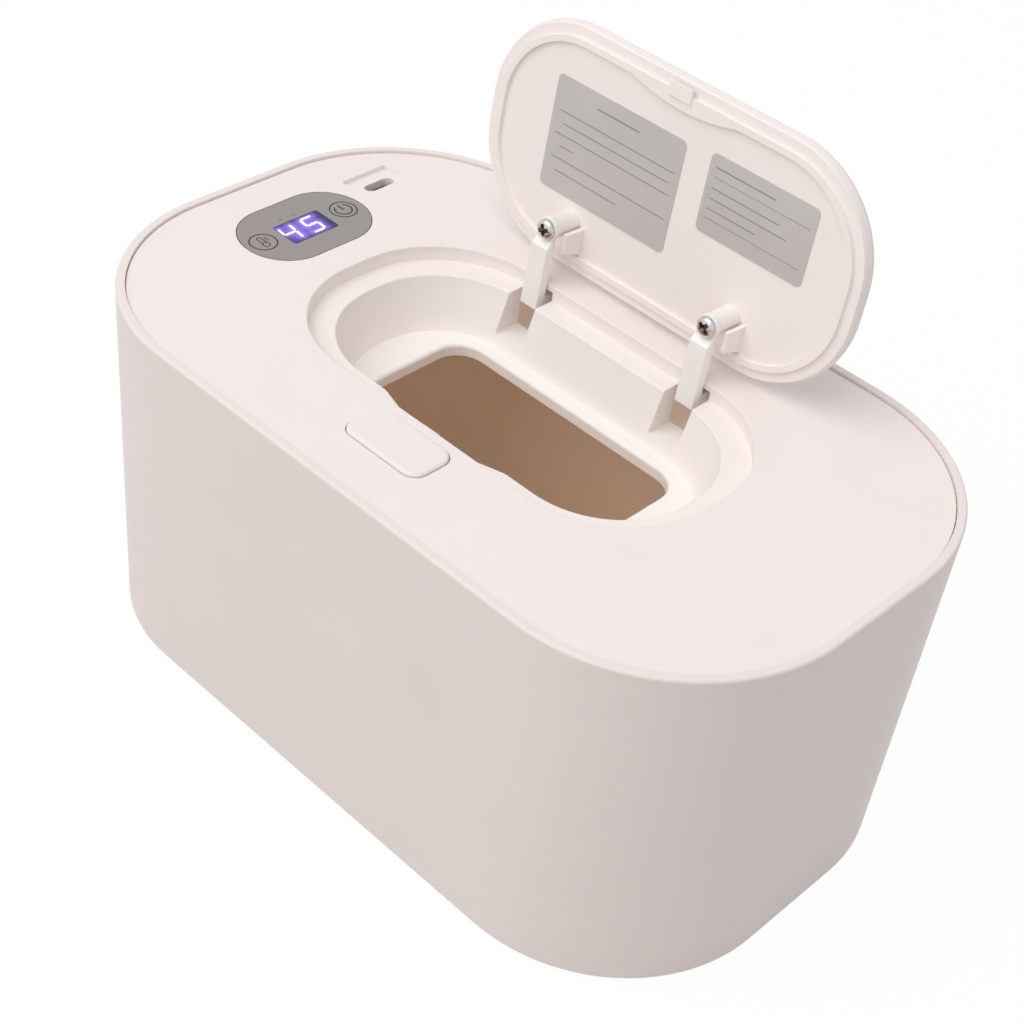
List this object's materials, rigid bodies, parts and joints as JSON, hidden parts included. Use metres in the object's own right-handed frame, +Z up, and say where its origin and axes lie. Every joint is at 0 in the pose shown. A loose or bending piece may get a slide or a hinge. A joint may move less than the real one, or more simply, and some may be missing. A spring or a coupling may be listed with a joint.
{
  "type": "wipe warmer",
  "caption": "Tabletop baby wipe warmer: deep rounded tub, lift-off heated cover with a sprung dispensing lid, push-button latch, touch display and charging inlet.",
  "frame": {"origin": "centre of the footprint, on the surface that the feet stand on", "axes": "+Z up; +X along the length, away from the display end; -Y is the front, the long side with the latch button"},
  "size_m": [0.21, 0.1268, 0.1608],
  "materials": {
    "shell": "satin warm white",
    "cover": "satin warm white",
    "liner": "satin cream",
    "lid_inner": "satin warm white",
    "arm": "cloudy translucent",
    "key_film": "satin grey film",
    "lens": "smooth, dark violet",
    "label": "printed grey film",
    "dark_plastic": "moulded black",
    "board": "solder mask",
    "socket_metal": "plated",
    "spring_metal": "drawn wire",
    "screw_steel": "nickel plated",
    "heater": "rolled sheet",
    "film": "polyimide",
    "lead": "silicone insulation",
    "latch": "moulded acetal",
    "foot": "soft grey"
  },
  "bodies": {
    "tub": {"outer_shell": "shell", "inner_liner": "liner", "rubber_foot_1": "foot", "rubber_foot_2": "foot", "rubber_foot_3": "foot", "rubber_foot_4": "foot"},
    "cover": {"top_cover": "cover", "control_film": "key_film", "display_lens": "lens", "display_module": "dark_plastic", "control_board": "board", "touch_pad_front": "spring_metal", "touch_pad_back": "spring_metal", "usb_socket": "socket_metal", "board_screws": "screw_steel", "under_tray": "liner", "tray_screws": "screw_steel", "heating_film": "film", "heating_plate": "heater", "temperature_sensor": "dark_plastic", "thermal_cutoff": "dark_plastic", "heater_lead_1": "lead", "heater_lead_2": "lead", "latch_housing": "liner", "latch_screws": "screw_steel", "button_spring_left": "spring_metal", "button_spring_right": "spring_metal", "hinge_pin_left": "screw_steel", "hinge_pin_right": "screw_steel", "hinge_spring_left": "spring_metal", "hinge_spring_right": "spring_metal"},
    "lid": {"lid_outer": "cover", "lid_inner": "lid_inner", "label_large": "label", "label_small": "label", "hinge_arm_left": "arm", "hinge_arm_right": "arm", "arm_screws": "screw_steel"},
    "button": {"latch_button": "cover"},
    "latch": {"latch_slider": "latch"}
  },
  "joints": [
    {"name": "cover_lift", "type": "slide", "parent": "tub", "child": "cover", "axis": [0, 0, 1], "range_m": [0, 0.06]},
    {"name": "lid_hinge", "type": "hinge", "parent": "cover", "child": "lid", "pos_m": [0, 0.0369, 0.0936], "axis": [1, 0, 0], "range_deg": [0, 94.8], "stiffness_Nm_per_rad": 0.0065, "springref_deg": -34.38},
    {"name": "button_press", "type": "slide", "parent": "cover", "child": "button", "axis": [0, 0, -1], "range_m": [0, 0.0015], "stiffness_N_per_m": 400, "springref_m": -0.002, "deforming": ["button_spring_left", "button_spring_right"]},
    {"name": "latch_slide", "type": "slide", "parent": "cover", "child": "latch", "axis": [0, -1, 0], "range_m": [0, 0.0015]}
  ],
  "couplings": [
    {"joint": "latch_slide", "follows": "button_press", "ratio": 1}
  ]
}
